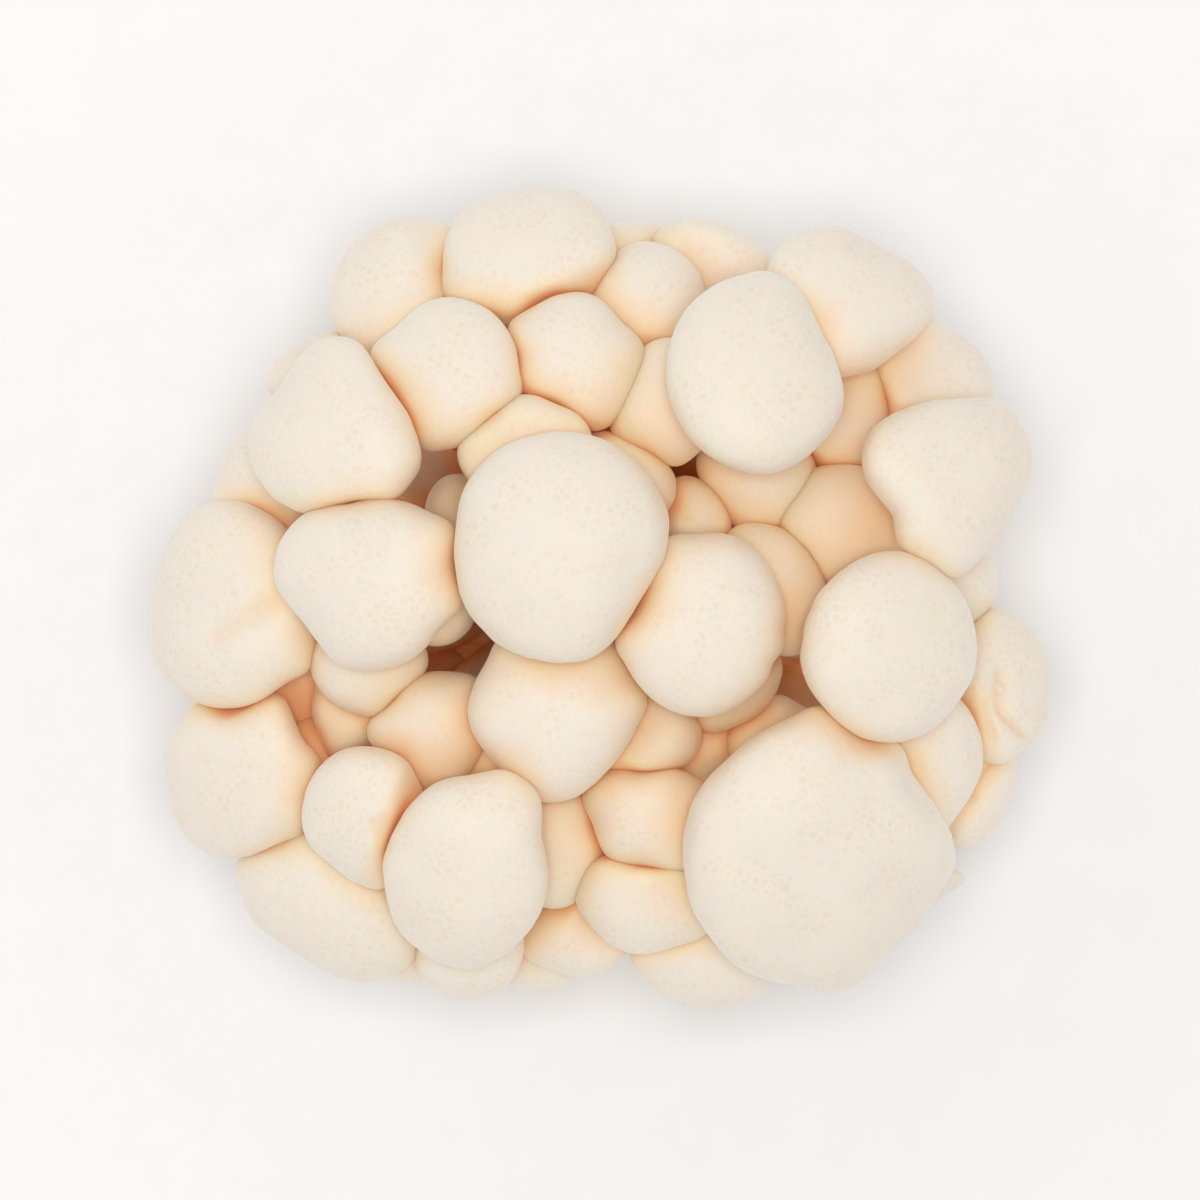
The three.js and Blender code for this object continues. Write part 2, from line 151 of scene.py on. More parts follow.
# How painted shade tints each flesh with the warm and the deep shade colours, by how closed off it is:
# (starts at, is full at, its full share).
CAP_PAINTED_SHADE = ((0.08, 0.68, 0.85), (0.60, 0.95, 0.9))
GILL_PAINTED_SHADE = ((0.45, 0.95, 0.85), (0.75, 1.0, 0.7))
STEM_PAINTED_SHADE = ((0.30, 0.70, 0.9), (0.45, 0.85, 0.95))
FOOT_PAINTED_SHADE = ((0.30, 0.70, 0.9), (0.50, 0.85, 0.95))
SCATTER_COLOURS = (1.0, 0.5, 0.25)  # how far red, green and blue go inside the flesh
SCATTER_DEPTH = 0.004

# ---- Studio ----
CAMERA_HEIGHT = 2.0
CAMERA_X = -0.00017
SENSOR_WIDTH = 36
VIEW_WIDTH = 0.13333  # width of the view at the level of the caps
VIEW_LEVEL = 0.075
SOFTBOXES = {  # (place, size, watts)
    "overhead": ((0, 0, 2.4), 0.5, 21),
    "key": ((-0.7, 0.6, 1.1), 0.9, 6),
    "fill": ((0.8, -0.5, 1.0), 0.9, 2.5),
}
SKY = ((1.0, 0.985, 0.965, 1), 0.60)  # colour and strength
AIM_HEIGHT = 0.05


# ---- Reading the CAD solids ----
def lattice(node):
    """The rings of points that a CAD solid is lofted through, top first, and its two poles."""
    bm = bmesh.new()
    bm.from_mesh(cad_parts[node].data)
    bmesh.ops.remove_doubles(bm, verts=bm.verts, dist=2e-6)
    links = {v.index: {e.other_vert(v).index for e in v.link_edges} for v in bm.verts}
    points = np.array([v.co for v in bm.verts])
    bm.free()
    poles = sorted(links, key=lambda v: -len(links[v]))[:2]
    top, bottom = sorted(poles, key=lambda v: -points[v][2])
    rings = [ordered_ring(links, points, top)]
    used = {top} | set(rings[0])
    while bottom not in links[rings[-1][0]]:
        last = rings[-1]
        below = [None] * len(last)
        for j, v in enumerate(last):
            after = (j + 1) % len(last)
            (below[after],) = (links[v] & links[last[after]]) - used
        rings.append(below)
        used |= set(below)
    return points[top], points[np.array(rings)], points[bottom]


def ordered_ring(links, points, pole):
    """The points around a pole, anticlockwise from above."""
    ring = links[pole]
    start = max(ring, key=lambda v: points[v][0])
    first, second = links[start] & ring
    turn = np.cross(points[start] - points[pole], points[first] - points[pole])[2]
    order = [start, first if turn > 0 else second]
    while len(order) < len(ring):
        (following,) = (links[order[-1]] & ring) - set(order[-2:])
        order.append(following)
    return order


# ---- Surface helpers ----
def around(rings, count):
    """Rings of points, resampled to count points each on a smooth closed curve through them."""
    n = rings.shape[-2]
    response = (4 + 2 * np.cos(2 * np.pi * np.arange(n) / n)) / 6
    control = np.fft.ifft(np.fft.fft(rings, axis=-2) / response[:, None], axis=-2).real
    place = np.arange(count) * n / count
    index = np.floor(place).astype(int)
    f = (place - index)[:, None]
    weights = ((1 - f) ** 3, 3 * f**3 - 6 * f**2 + 4, -3 * f**3 + 3 * f**2 + 3 * f + 1, f**3)
    return sum(w / 6 * control[..., (index + m - 1) % n, :] for m, w in enumerate(weights))


def through(nodes, counts):
    """Rings on a smooth path through nodes[1:-1]; the first and last only steer its ends."""
    made = []
    for k, count in enumerate(counts):
        p0, p1, p2, p3 = nodes[k : k + 4]
        d01, d12, d23 = (
            np.maximum(np.linalg.norm(b - a, axis=-1, keepdims=True), 1e-7) ** 0.5
            for a, b in ((p0, p1), (p1, p2), (p2, p3))
        )
        m1 = d12 * ((p1 - p0) / d01 - (p2 - p0) / (d01 + d12) + (p2 - p1) / d12)
        m2 = d12 * ((p2 - p1) / d12 - (p3 - p1) / (d12 + d23) + (p3 - p2) / d23)
        for step in range(1, count + 1):
            t = step / count
            made.append(
                (2 * t**3 - 3 * t**2 + 1) * p1
                + (t**3 - 2 * t**2 + t) * m1
                + (3 * t**2 - 2 * t**3) * p2
                + (t**3 - t**2) * m2
            )
    return made


def normals_of(rings):
    """Outward normals of a grid of rings that runs from the top down."""
    down = np.gradient(rings, axis=0)
    along = np.roll(rings, -1, axis=1) - np.roll(rings, 1, axis=1)
    normal = np.cross(down, along)
    return normal / np.maximum(np.linalg.norm(normal, axis=-1, keepdims=True), 1e-12)


def bearing(offset):
    """The direction of an offset, seen from above, in radians anticlockwise from +X."""
    return np.arctan2(offset[..., 1], offset[..., 0])


def waves(points, size, seed, stretch=(1, 1, 1)):
    """Smooth noise of about -1 to 1 with features of the given size, the same on each run."""
    rng = np.random.default_rng(seed)
    total = np.zeros(points.shape[:-1])
    for _ in range(18):
        direction = rng.normal(size=3)
        direction *= 2 * np.pi / (size * rng.uniform(0.7, 1.6) * np.linalg.norm(direction))
        total += np.sin((points * stretch) @ direction + rng.uniform(0, 2 * np.pi))
    return total / 6


def relief(points, height, size, seed, squash):
    """Waves of a given height, drawn out along Z if squash is under 1."""
    return height * waves(points, size, seed, (1, 1, squash))


def blurred(grid, passes):
    """A grid of values, smoothed along its rings and across them."""
    for _ in range(passes):
        padded = np.concatenate([grid[:1], grid, grid[-1:]])
        grid = (padded[:-2] + padded[2:] + 2 * grid) / 4
        grid = (np.roll(grid, 1, axis=1) + np.roll(grid, -1, axis=1) + 2 * grid) / 4
    return grid


def clamped(value, limits):
    return int(min(max(value, limits[0]), limits[1]))


def grid_faces(rings, columns):
    """Faces of a grid of rings between two poles: a fan, quads, and another fan."""
    at = 1 + np.arange(rings * columns).reshape(rings, columns)
    right = np.roll(at, -1, axis=1)
    quads = np.stack([at[:-1], at[1:], right[1:], right[:-1]], axis=-1).reshape(-1, 4)
    top = np.stack([np.zeros(columns, int), at[0], right[0]], axis=-1)
    last = np.full(columns, rings * columns + 1)
    end = np.stack([last, right[-1], at[-1]], axis=-1)
    return top, quads, end


# ---- Lofting a mushroom ----
class Mushroom:
    """One mushroom's fine surface: its rings, top first, and which of them are skin or gills."""

    def __init__(self, node):
        self.name = node + "_flesh"
        self.apex, rings, _ = lattice(node)
        rim = rings[RIM]
        self.centre = rim.mean(axis=0)
        self.radius = float(np.linalg.norm((rim - self.centre)[:, :2], axis=1).mean())
        self.gills = clamped(2 * np.pi * self.radius / GILL_PITCH, GILLS)
        self.seed = sum(ord(c) * (i + 1) for i, c in enumerate(self.name))
        columns = around(rings, 2 * self.gills)
        skin, self.rim_ring = self.skin_rings(columns)
        bead = self.bead_rings(skin[-1])
        gill = self.gill_rings(bead[-1], columns[STEM_TOP])
        stem = self.stem_rings(columns[STEM_TOP:])
        self.skin_end = len(skin) + len(bead)
        self.gill_end = self.skin_end + len(gill)
        self.rings = np.array(skin + bead + gill + stem)
        self.bottom = self.rings[-1].mean(axis=0)
        flat = self.rings[: self.skin_end, :, :2] - self.centre[:2]
        self.crease(flat, CREASES.get(node, ()))
        self.pull(flat, PULLS.get(node, ()))
        self.roughen()

    def skin_rings(self, columns):
        """Rings from the apex to the lip, and which of them is the rim."""
        opposite = np.roll(columns[0], self.gills, axis=0)
        top = np.broadcast_to(self.apex, columns[0].shape)
        rim, lip = columns[RIM], columns[LIP]
        beyond = lip + 0.5 * (lip - rim) - 0.25 * (rim - self.centre)
        nodes = [opposite, top, *columns[: LIP + 1], beyond]
        total = clamped(CAP_RINGS_PER_MM * self.radius / MM, CAP_RINGS)
        share = max(total // 5, 3)
        counts = [share + 2, share, share, share, share]
        return through(nodes, counts), sum(counts[: RIM + 1]) - 1

    def bead_rings(self, lip):
        """The margin, rolled inwards and up."""
        size = BEAD[0] + BEAD[1] * self.radius
        inward = (self.centre - lip) * (1, 1, 0)
        inward /= np.linalg.norm(inward, axis=1, keepdims=True)
        angles = [math.radians(turn) for turn in BEAD_TURNS]
        return [lip + size * ((1 - math.cos(a)) * inward - math.sin(a) * UP) for a in angles]

    def gill_rings(self, margin, joint):
        """Gills from the margin to the stem: every other column is a valley."""
        valley = (np.arange(2 * self.gills) % 2)[:, None]
        made = []
        for step in range(1, GILL_RINGS + 1):
            t = step / (GILL_RINGS + 1)
            depth = GILL_DEPTH * self.radius * math.sin(math.pi * t**0.7) ** 0.6
            sag = GILL_SAG * self.radius * math.sin(math.pi * t)
            made.append(margin + t * (joint - margin) + (valley * depth - sag) * UP)
        return made

    def stem_rings(self, columns):
        sunk = columns[-1] - STEM_SINK * UP
        nodes = [2 * columns[0] - columns[1], *columns, sunk, 2 * sunk - columns[-1]]
        middles = [ring.mean(axis=0) for ring in nodes[1:-1]]
        lengths = [np.linalg.norm(b - a) for a, b in zip(middles, middles[1:])]
        counts = [max(int(length / STEM_RING_STEP), 1) for length in lengths]
        return [columns[0], *through(nodes, counts)]

    def crease(self, flat, creases):
        """Presses the cap's own creases into its skin; flat is where each point is, from above."""
        skin = self.rings[: self.skin_end]
        normal = normals_of(self.rings)[: self.skin_end]
        # Crease depths, kept for the painted shade in the creases.
        self.folds = np.zeros(flat.shape[:2])
        for start, end, depth, width in creases:
            start = np.array(start) * MM
            run = np.array(end) * MM - start
            along = np.clip((flat - start) @ run / (run @ run), 0, 1)
            away = np.linalg.norm(flat - start - along[..., None] * run, axis=-1)
            fold = depth * np.exp(-((away / (width * MM)) ** 2))
            skin -= MM * fold[..., None] * normal
            self.folds = np.maximum(self.folds, fold)

    def pull(self, flat, pulls):
        """Draws the cap's margin out, or in, at its own places."""
        skin = self.rings[: self.skin_end]
        direction = np.degrees(bearing(flat))
        reach = np.clip(np.linalg.norm(flat, axis=-1) / self.radius, 0, 1.2) ** 3
        for towards, distance, width in pulls:
            off = (direction - towards + 180) % 360 - 180
            outward = np.array([math.cos(math.radians(towards)), math.sin(math.radians(towards)), 0])
            skin += (distance * MM * reach * np.exp(-((off / width) ** 2)))[..., None] * outward

    def roughen(self):
        """Gives the skin its lumps and the stem its fibres and bends."""
        normal = normals_of(self.rings)
        push = np.zeros(self.rings.shape[:2])
        skin = slice(0, self.skin_end)
        for share, size, seed in CAP_LUMPS:
            push[skin] += share * self.radius * waves(self.rings[skin], size, seed + self.seed)
        push[skin] *= np.clip(np.arange(self.skin_end) / LUMP_EASE, 0, 1)[:, None]
        stem = slice(self.gill_end + 1, None)
        push[stem] += relief(self.rings[stem], *STEM_FIBRES) + relief(self.rings[stem], *STEM_BENDS)
        self.rings += push[..., None] * normal

    def points(self):
        return np.concatenate([self.apex[None], self.rings.reshape(-1, 3), self.bottom[None]])

    def faces(self):
        return grid_faces(*self.rings.shape[:2])


# ---- All the mushrooms together ----
def scene_tree(mushrooms):
    """One search tree of every mushroom, and the mushroom that each of its faces belongs to."""
    points, faces, owner = [], [], []
    base = 0
    for k, m in enumerate(mushrooms):
        points.append(m.points())
        for block in m.faces():
            faces += (block + base).tolist()
            owner.append(np.full(len(block), k))
        base += len(points[-1])
    return BVHTree.FromPolygons(np.concatenate(points).tolist(), faces), np.concatenate(owner)


def margin_gap(point, direction, higher, tree, owner):
    """How far a point of a margin can move out before it goes under a higher mushroom's cap."""
    nearest = CLOSE_REACH
    for height in CLOSE_HEIGHTS:
        start = (point + height * UP).tolist()
        _, normal, face, distance = tree.ray_cast(start, direction.tolist(), CLOSE_REACH)
        if face is None or owner[face] not in higher:
            continue
        if normal.dot(direction) > 0:
            return 0
        nearest = min(nearest, distance)
    return nearest if nearest < CLOSE_REACH else 0


def smooth_gap(gap):
    """A margin's gaps with their peaks widened, then smoothed."""
    for _ in range(CLOSE_SPREAD):
        gap = np.maximum(gap, (np.roll(gap, 1) + np.roll(gap, -1)) / 2)
    for _ in range(CLOSE_BLUR):
        gap = (np.roll(gap, 1) + np.roll(gap, -1) + 2 * gap) / 4
    return gap


def close_gaps(mushrooms):
    """Margins are drawn out sideways until, seen from above, each cap meets its neighbours."""
    for _ in range(CLOSE_ROUNDS):
        tree, owner = scene_tree(mushrooms)
        for m in mushrooms:
            rim = m.rings[m.rim_ring]
            outward = (rim - m.centre) * (1, 1, 0)
            reach = np.linalg.norm(outward, axis=1)
            outward /= reach[:, None]
            higher = {i for i, other in enumerate(mushrooms) if other.centre[2] > m.centre[2]}
            gap = [margin_gap(p, d, higher, tree, owner) for p, d in zip(rim, outward)]
            gap = smooth_gap(np.array(gap))
            share = np.linalg.norm((m.rings - m.centre)[..., :2], axis=-1).mean(axis=1) / reach.mean()
            weight = np.clip(share, 0, 1) ** 3
            weight[m.skin_end : m.gill_end] = 1 - np.linspace(0, 1, m.gill_end - m.skin_end)
            weight[m.gill_end :] = 0
            m.rings += CLOSE_SHARE * weight[:, None, None] * gap[:, None] * outward


def swell(mushrooms):
    """Stems that nearly touch are swollen towards each other."""
    reach, full = STEM_CONTACT
    for _ in range(CONTACT_ROUNDS):
        tree, owner = scene_tree(mushrooms)
        for k, m in enumerate(mushrooms):
            stem = slice(m.gill_end + 1, None)
            normal = normals_of(m.rings)[stem]
            push = np.zeros(normal.shape[:2])
            for i, (row, facing) in enumerate(zip(m.rings[stem].tolist(), normal.tolist())):
                for j, (point, direction) in enumerate(zip(row, facing)):
                    _, _, face, distance = tree.ray_cast(point, direction, reach)
                    if face is not None and owner[face] != k:
                        ease = min((reach - distance) / (reach - full), 1)
                        push[i, j] = CONTACT_SHARE * max(distance - CONTACT_GAP, 0) * ease
            ends = np.linspace(0, 1, len(push))[:, None]
            taper = np.clip(8 * ends * (1 - ends), 0, 1)
            m.rings[stem] += (blurred(push, CONTACT_BLUR) * taper)[..., None] * normal


def ease_inside(points):
    """Points near the CAD box's sides, eased smoothly to within them."""
    low, high = np.array(CAD_BOX[0]), np.array(CAD_BOX[1])
    for sign, side in ((1, high), (-1, -low)):
        over = np.maximum(sign * points - (side - BOX_EASE), 0)
        points = points - sign * (over - BOX_EASE * (1 - np.exp(-over / BOX_EASE)))
    return points


def sphere_directions(count):
    """Directions spread over a half sphere about +Z, denser towards the pole."""
    k = np.arange(count) + 0.5
    height = np.sqrt(1 - k / count)
    spin = k * math.pi * (3 - math.sqrt(5))
    across = np.sqrt(1 - height**2)
    return np.stack([across * np.cos(spin), across * np.sin(spin), height], axis=-1)


def painted_shade_amount(points, normals, tree):
    """How much of the sky over each point is closed off by nearby flesh, from 0 to 1; this sets its
    painted shade.
    """
    fan = sphere_directions(PAINTED_SHADE_RAYS)
    closed = np.zeros(len(points))
    side = np.cross(normals, (0.31, 0.95, 0.05))
    side /= np.linalg.norm(side, axis=1, keepdims=True)
    other = np.cross(normals, side)
    for i, (point, normal) in enumerate(zip(points, normals)):
        rays = fan[:, :1] * side[i] + fan[:, 1:2] * other[i] + fan[:, 2:] * normal
        start = (point + PAINTED_SHADE_START * normal).tolist()
        for ray in rays.tolist():
            distance = tree.ray_cast(start, ray, PAINTED_SHADE_REACH)[3]
            if distance is not None:
                closed[i] += 1 - 0.5 * distance / PAINTED_SHADE_REACH
    return closed / PAINTED_SHADE_RAYS


def painted_shade_grid(rings, tree, ring_step, column_step):
    """The closed-off share of sky, which sets the painted shade, at some of a grid's points, spread
    smoothly over the others.
    """
    rows = np.unique(np.append(np.arange(0, len(rings), ring_step), len(rings) - 1))
    columns = np.arange(0, rings.shape[1], column_step)
    normal = normals_of(rings)
    picked = np.ix_(rows, columns)
    values = painted_shade_amount(rings[picked].reshape(-1, 3), normal[picked].reshape(-1, 3), tree)
    values = values.reshape(len(rows), len(columns))
    wrapped = np.append(values, values[:, :1], axis=1)
    places = np.append(columns, rings.shape[1])
    across = np.array([np.interp(np.arange(rings.shape[1]), places, row) for row in wrapped])
    grid = np.array([np.interp(np.arange(len(rings)), rows, column) for column in across.T]).T
    return blurred(grid, PAINTED_SHADE_BLUR)


# ---- The foot ----
def ribs(side, feet):
    """How far the foot's side stands out where it is one with a stem, most at the top."""
    rib = np.zeros(side.shape[:2])
    middle = side[-1].mean(axis=0)
    edge = np.linalg.norm((side[0] - middle)[:, :2], axis=1).mean()
    for centre, _ in feet:
        reach = np.linalg.norm((centre - middle)[:2])
        near = np.clip(1 - (edge - reach) / RIB_REACH, 0, 1)
        turn = bearing(side - middle) - bearing(centre - middle)
        across = np.abs((turn + np.pi) % (2 * np.pi) - np.pi) * edge
        rib = np.maximum(rib, near * np.exp(-((across / RIB_WIDTH) ** 2)))
    rise = side[..., 2] / side[0, 0, 2]
    return RIB * (rib - RIB_MEAN) * np.clip(0.25 + rise, 0, 1) * np.clip(4 * rise, 0, 1)


def foot_top(points, feet, level):
    """The flesh between the stems, drawn up where it meets one."""
    gaps = [np.linalg.norm(points[..., :2] - centre[:2], axis=-1) - radius for centre, radius in feet]
    nearest = np.clip(np.min(gaps, axis=0), 0, None)
    rough = sum(relief(points, *grain) for grain in TOP_GRAIN)
    return level - HOLLOW + COLLAR * np.exp(-nearest / COLLAR_WIDTH) + rough


def foot_side(columns, feet):
    """The foot's side, with its ribs and grain and a rounded upper edge, and that edge's middle."""
    nodes = [2 * columns[0] - columns[1], *columns, 2 * columns[-1] - columns[-2]]
    side = np.array([columns[0], *through(nodes, FOOT_SIDE_RINGS)])
    normal = normals_of(side)
    grain = np.clip(side[..., 2] / GRAIN_FADE, 0, 1) * sum(relief(side, *grain) for grain in SIDE_GRAIN)
    side += (grain + ribs(side, feet) - FOOT_INSET)[..., None] * normal
    side[..., 2] = np.maximum(side[..., 2], 0)
    side[-1, :, 2] = 0
    centre = side[0].mean(axis=0)
    reach = np.linalg.norm((side - centre)[..., :2], axis=-1)
    inward = (centre - side) * (1, 1, 0) / reach[..., None]
    height = np.clip((side[..., 2] - side[0, 0, 2] + FOOT_EDGE) / FOOT_EDGE, 0, 1)
    side += ((1 - np.sqrt(1 - 0.96 * height**2)) * FOOT_EDGE)[..., None] * inward
    return side, centre


def foot_grid(mushrooms):
    """The foot's rings from the middle of its top to the middle of its base, and both middles."""
    _, rings, bottom = lattice("foot")
    feet = []
    for m in mushrooms:
        radius = float(np.linalg.norm(m.rings[-1] - m.bottom, axis=1).mean())
        feet.append((m.rings[-1].mean(axis=0), radius))
    side, centre = foot_side(around(rings, FOOT_COLUMNS), feet)
    level = side[0, 0, 2]
    shares = np.linspace(0.015, 0.985, FOOT_TOP_RINGS)[:, None, None]
    top = centre + shares * (side[0] - centre)
    blend = np.clip((1 - shares[..., 0]) / EDGE_FADE, 0, 1)
    top[..., 2] += blend * (foot_top(top, feet, level) - level)
    base = bottom + np.linspace(0.93, 0.02, FOOT_BASE_RINGS)[:, None, None] * (side[-1] - bottom)
    base[..., 2] = 0
    return np.concatenate([top, side, base]), top[0].mean(axis=0), bottom * (1, 1, 0)


# ---- Materials ----
class Shader:
    """A material in the making, with short ways to add nodes to it."""

    def __init__(self, name):
        self.material = bpy.data.materials.new(name)
        self.material.use_nodes = True
        self.nodes = self.material.node_tree.nodes
        self.links = self.material.node_tree.links
        self.surface = self.nodes["Principled BSDF"]

    def node(self, kind, settings=None, **inputs):
        """A node, with properties from settings and sockets from inputs; _0 is its first socket."""
        made = self.nodes.new(kind)
        for key, value in (settings or {}).items():
            setattr(made, key, value)
        for key, value in inputs.items():
            socket = made.inputs[int(key[1:]) if key[0] == "_" else key]
            if isinstance(value, bpy.types.NodeSocket):
                self.links.new(value, socket)
            else:
                socket.default_value = value
        return made

    def mix(self, factor, first, second):
        settings = {"data_type": "RGBA", "blend_type": "MIX"}
        return self.node("ShaderNodeMix", settings, _0=factor, _6=first, _7=second).outputs[2]

    def maths(self, operation, first, second):
        return self.node("ShaderNodeMath", {"operation": operation}, _0=first, _1=second).outputs[0]

    def spread(self, value, low, high, to_low=0.0, to_high=1.0):
        """A value, mapped from one range to another and held there."""
        made = self.node("ShaderNodeMapRange", None, Value=value)
        for socket, number in zip(("From Min", "From Max"), (low, high)):
            made.inputs[socket].default_value = number
        for socket, number in zip(("To Min", "To Max"), (to_low, to_high)):
            made.inputs[socket].default_value = number
        return made.outputs[0]

    def place(self, stretch=(1, 1, 1)):
        """Where a point is on its piece."""
        source = self.node("ShaderNodeTexCoord").outputs["Object"]
        return self.node("ShaderNodeMapping", None, Vector=source, Scale=stretch).outputs[0]

    def noise(self, place, scale, detail):
        return self.node("ShaderNodeTexNoise", None, Vector=place, Scale=scale, Detail=detail)

    def cells(self, place, scale, edge):
        """Bent cells, 1 inside a cell and 0 on the lines between them."""
        warp = self.noise(place, scale * 0.6, 2.0).outputs["Color"]
        bend = (0.0009, 0.0009, 0.0009)
        settings = {"operation": "MULTIPLY_ADD"}
        bent = self.node("ShaderNodeVectorMath", settings, _0=warp, _1=bend, _2=place).outputs[0]
        settings = {"feature": "DISTANCE_TO_EDGE"}
        made = self.node("ShaderNodeTexVoronoi", settings, Vector=bent, Scale=scale)
        return self.spread(made.outputs["Distance"], 0.03, edge)

    def with_painted_shade(self, colour, painted_shades):
        """A colour with painted shade: darker and warmer where nearby flesh closes off the sky."""
        source = self.node("ShaderNodeAttribute", {"attribute_name": "painted_shade_amount"})
        for shade_colour, (start, full, share) in zip((PAINTED_SHADE_WARM, PAINTED_SHADE_DEEP), painted_shades):
            colour = self.mix(self.spread(source.outputs["Fac"], start, full, 0.0, share), colour, shade_colour)
        return colour

    def finish(self, colour, height, strength, distance, rough, scatter):
        """Connects the flesh's colour, bump and roughness, and lets light into it."""
        self.links.new(colour, self.surface.inputs["Base Color"])
        bump = self.node("ShaderNodeBump", None, Height=height, Strength=strength, Distance=distance)
        self.links.new(bump.outputs[0], self.surface.inputs["Normal"])
        self.links.new(rough, self.surface.inputs["Roughness"])
        self.surface.inputs["Subsurface Weight"].default_value = scatter
        self.surface.inputs["Subsurface Radius"].default_value = SCATTER_COLOURS
        self.surface.inputs["Subsurface Scale"].default_value = SCATTER_DEPTH
        self.surface.inputs["Specular IOR Level"].default_value = 0.28
        return self.material


def cap_skin():
    """Cream skin, faintly marbled, with a soft sheen."""
    made = Shader("cap_skin")
    place = made.place()
    patches = made.noise(place, 210.0, 3.0).outputs["Fac"]
    where = made.spread(patches, 0.36, 0.62, 0.08, 0.56)
    marbling = made.maths("MULTIPLY", made.cells(place, 1000.0, 0.34), where)
    broad = made.noise(place, 70.0, 2.0).outputs["Fac"]
    tone = made.maths("ADD", made.maths("MULTIPLY", broad, 0.24), marbling)
    # Painted shade: the cream is darkened and warmed where neighbouring flesh closes off the sky.
    colour = made.with_painted_shade(made.mix(tone, CREAM, MARBLE), CAP_PAINTED_SHADE)
    fine = made.noise(place, 2600.0, 3.0).outputs["Fac"]
    height = made.maths("ADD", made.maths("MULTIPLY", marbling, 0.8), fine)
    made.surface.inputs["Sheen Weight"].default_value = 0.22
    made.surface.inputs["Sheen Roughness"].default_value = 0.35
    made.surface.inputs["Sheen Tint"].default_value = (1.0, 0.94, 0.86, 1)
    return made.finish(colour, height, 0.25, 0.00012, made.spread(fine, 0.3, 0.7, 0.5, 0.62), 0.65)


def gill_flesh():
    made = Shader("gill_flesh")
    patches = made.noise(made.place(), 240.0, 3.0).outputs["Fac"]
    # Painted shade: darker and warmer where the gills are closed off.
    colour = made.with_painted_shade(made.mix(patches, *GILL), GILL_PAINTED_SHADE)
    return made.finish(colour, patches, 0.2, 0.0001, made.spread(patches, 0.3, 0.7, 0.55, 0.7), 0.65)


def stem_flesh():
    """Flesh with fibres along the stem."""
    made = Shader("stem_flesh")
    streaks = made.noise(made.place((1, 1, 0.1)), 900.0, 4.0).outputs["Fac"]
    patches = made.noise(made.place(), 130.0, 3.0).outputs["Fac"]
    tone = made.spread(made.maths("MULTIPLY", streaks, patches), 0.12, 0.42)
    # Painted shade: darker and warmer where the stems are closed off.
    colour = made.with_painted_shade(made.mix(tone, *STEM), STEM_PAINTED_SHADE)
    return made.finish(colour, streaks, 0.35, 0.00015, made.spread(streaks, 0.3, 0.7, 0.5, 0.68), 0.65)


def foot_flesh():
    """Streaky flesh, browner low down, where it was cut."""
    made = Shader("foot_flesh")
    place = made.place()
    mottling = made.noise(place, 110.0, 5.0)
    mottling.inputs["Roughness"].default_value = 0.6
    patches = mottling.outputs["Fac"]
    streaks = made.noise(made.place((1, 1, 0.16)), 620.0, 4.0).outputs["Fac"]
    tone = made.spread(made.maths("ADD", patches, streaks), 0.8, 1.25)
    height = made.node("ShaderNodeSeparateXYZ", None, Vector=place).outputs["Z"]
    ragged = made.maths("ADD", height, made.maths("MULTIPLY", patches, 0.012))
    colour = made.mix(made.spread(ragged, 0.006, 0.014, 0.6, 0.0), made.mix(tone, *FOOT), CUT)
    # Painted shade: darker and warmer where the foot is closed off.
    colour = made.with_painted_shade(colour, FOOT_PAINTED_SHADE)
    rough = made.maths("ADD", streaks, patches)
    return made.finish(colour, rough, 0.5, 0.0004, made.spread(patches, 0.3, 0.7, 0.7, 0.9), 0.4)


def floor_paper():
    made = Shader("floor_paper")
    grain = made.node("ShaderNodeTexNoise", None, Scale=900.0, Detail=2.0).outputs["Fac"]
    made.links.new(made.mix(grain, *PAPER), made.surface.inputs["Base Color"])
    made.surface.inputs["Roughness"].default_value = 0.9
    return made.material


# ---- Making pieces ----
def mesh_piece(name, points, blocks, materials):
    """A mesh from blocks of (faces, material index, smooth)."""
    mesh = bpy.data.meshes.new(name)
    faces = [face for block, _, _ in blocks for face in block.tolist()]
    mesh.from_pydata(points.tolist(), [], faces)
    index = np.concatenate([np.full(len(block), which) for block, which, _ in blocks])
    smooth = np.concatenate([np.full(len(block), soft) for block, _, soft in blocks])
    mesh.polygons.foreach_set("material_index", index.astype(np.int32))
    mesh.polygons.foreach_set("use_smooth", smooth.astype(bool))
    for material in materials:
        mesh.materials.append(material)
    piece = bpy.data.objects.new(name, mesh)
    bpy.context.scene.collection.objects.link(piece)
    return piece


def set_painted_shade(piece, grid, last):
    """Stores a grid's painted shade amount on a piece's points; last is the value at its lower pole."""
    values = np.concatenate([[grid[0].mean()], grid.ravel(), [last]])
    layer = piece.data.attributes.new("painted_shade_amount", "FLOAT", "POINT")
    layer.data.foreach_set("value", values.astype(np.float32))


def mushroom_piece(mushroom, tree, materials):
    top, quads, end = mushroom.faces()
    columns = mushroom.rings.shape[1]
    skin = quads[: (mushroom.skin_end - 1) * columns]
    gill = quads[len(skin) : mushroom.gill_end * columns]
    stem = quads[len(skin) + len(gill) :]
    blocks = [(top, 0, True), (skin, 0, True), (gill, 1, False), (stem, 2, True), (end, 2, True)]
    piece = mesh_piece(mushroom.name, mushroom.points(), blocks, materials)
    # Painted shade: how closed off each point is, which darkens and warms its colour.
    grid = painted_shade_grid(mushroom.rings, tree, 3, 5)
    # More painted shade in the creases, by their depth.
    grid[: mushroom.skin_end] += FOLD_PAINTED_SHADE * mushroom.folds
    set_painted_shade(piece, grid, 1.0)
    return piece


def foot_piece(mushrooms, tree, material):
    rings, top, bottom = foot_grid(mushrooms)
    points = np.concatenate([top[None], rings.reshape(-1, 3), bottom[None]])
    blocks = [(block, 0, True) for block in grid_faces(*rings.shape[:2])]
    piece = mesh_piece("foot_flesh", points, blocks, [material])
    # Painted shade on the foot, by how closed off each point is.
    set_painted_shade(piece, painted_shade_grid(rings, tree, 2, 4), 0.0)
    return piece


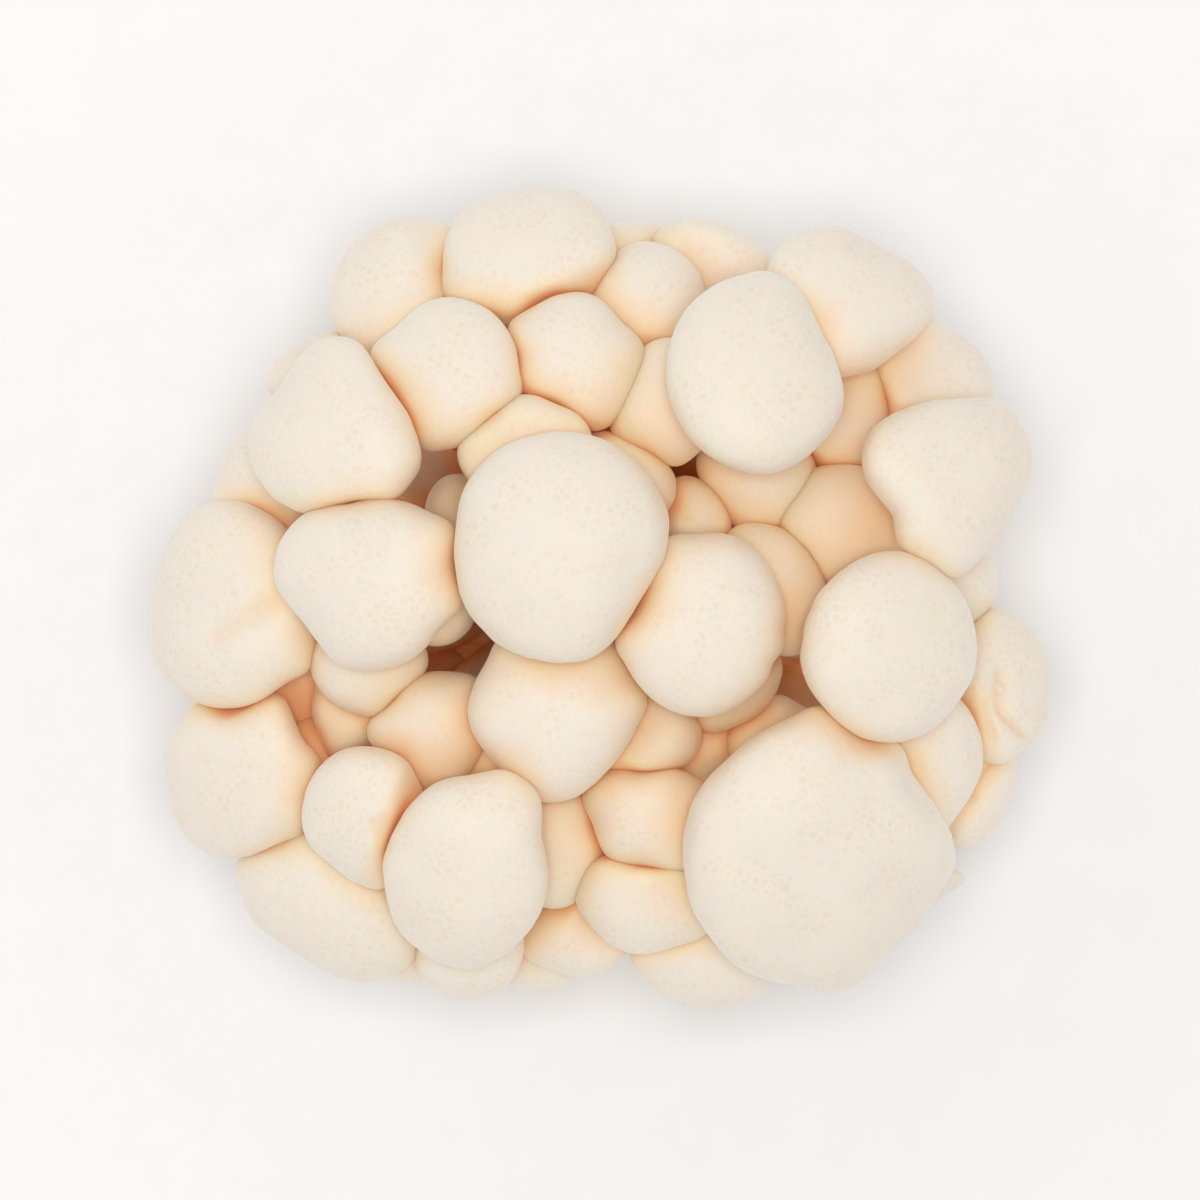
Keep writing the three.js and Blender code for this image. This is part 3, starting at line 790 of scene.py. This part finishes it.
# ---- Building ----
def build():
    names = sorted(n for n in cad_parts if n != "foot")
    mushrooms = [Mushroom(name) for name in names]
    close_gaps(mushrooms)
    swell(mushrooms)
    for m in mushrooms:
        m.rings = ease_inside(m.rings)
    tree, _ = scene_tree(mushrooms)
    materials = [cap_skin(), gill_flesh(), stem_flesh()]
    for name, mushroom in zip(names, mushrooms):
        piece = mushroom_piece(mushroom, tree, materials)
        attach(piece, "root")
        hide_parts(name)
    foot = foot_piece(mushrooms, tree, foot_flesh())
    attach(foot, "root")
    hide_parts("foot")


# ---- Studio ----
def add_camera():
    """Straight above the crown, far off, so that its middle and edges are seen alike."""
    data = bpy.data.cameras.new("camera")
    data.sensor_width = SENSOR_WIDTH
    data.lens = SENSOR_WIDTH * (CAMERA_HEIGHT - VIEW_LEVEL) / VIEW_WIDTH
    data.clip_end = 20
    camera = bpy.data.objects.new("camera", data)
    camera.location = (CAMERA_X, 0, CAMERA_HEIGHT)
    bpy.context.scene.collection.objects.link(camera)
    bpy.context.scene.camera = camera


def add_softbox(name, location, size, watts):
    data = bpy.data.lights.new(name, "AREA")
    data.shape = "SQUARE"
    data.size = size
    data.energy = watts
    light = bpy.data.objects.new(name, data)
    light.location = location
    aim = np.array([0, 0, AIM_HEIGHT]) - np.array(location)
    tilt = math.atan2(math.hypot(aim[0], aim[1]), -aim[2])
    light.rotation_euler = (tilt, 0, math.atan2(aim[0], -aim[1]))
    bpy.context.scene.collection.objects.link(light)


def add_studio():
    bpy.ops.mesh.primitive_plane_add(size=6, location=(0, 0, -0.0001))
    floor = bpy.context.object
    floor.name = "floor"
    floor.data.materials.append(floor_paper())
    world = bpy.data.worlds.new("studio")
    world.use_nodes = True
    sky = world.node_tree.nodes["Background"]
    sky.inputs["Color"].default_value, sky.inputs["Strength"].default_value = SKY
    bpy.context.scene.world = world
    for name, softbox in SOFTBOXES.items():
        add_softbox(name, *softbox)


bpy.context.scene.view_settings.view_transform = "Standard"
bpy.context.scene.cycles.diffuse_bounces = 8
add_camera()
build()
add_studio()
